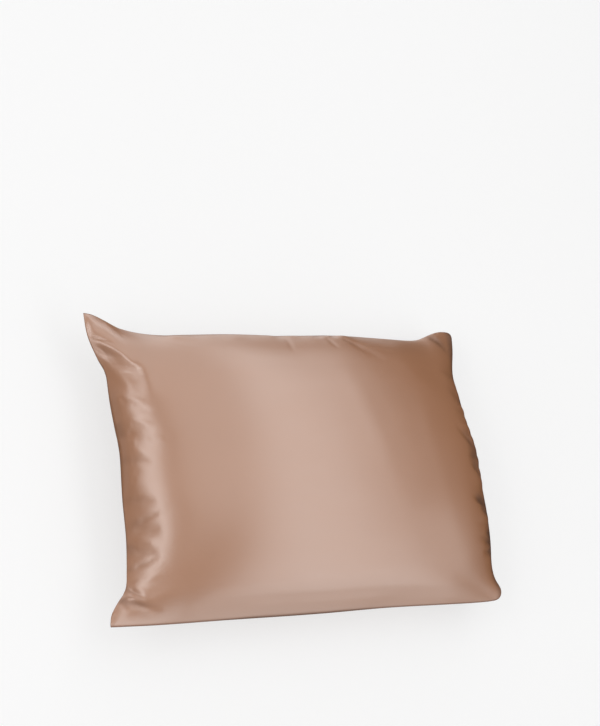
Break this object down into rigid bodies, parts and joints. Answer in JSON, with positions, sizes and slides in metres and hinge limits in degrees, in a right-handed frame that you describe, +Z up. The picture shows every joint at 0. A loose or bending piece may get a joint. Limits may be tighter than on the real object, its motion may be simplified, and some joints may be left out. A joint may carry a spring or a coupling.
{
  "type": "filled pillowcase",
  "caption": "Satin pillowcase with a pillow in it, lying on its back: crowned front, drawn-in sides, a flat ear of cloth at each corner.",
  "frame": {"origin": "on the floor, under the middle of the pillow's bounding box", "axes": "+X along the long side, towards the picture's right; +Y towards the pillow's top edge in the picture; +Z up, out of the front panel"},
  "size_m": [0.6693, 0.4717, 0.155],
  "materials": {
    "satin": "smooth rose-brown satin with a soft sheen"
  },
  "bodies": {
    "root": {"pillowcase": "satin"}
  },
  "joints": []
}
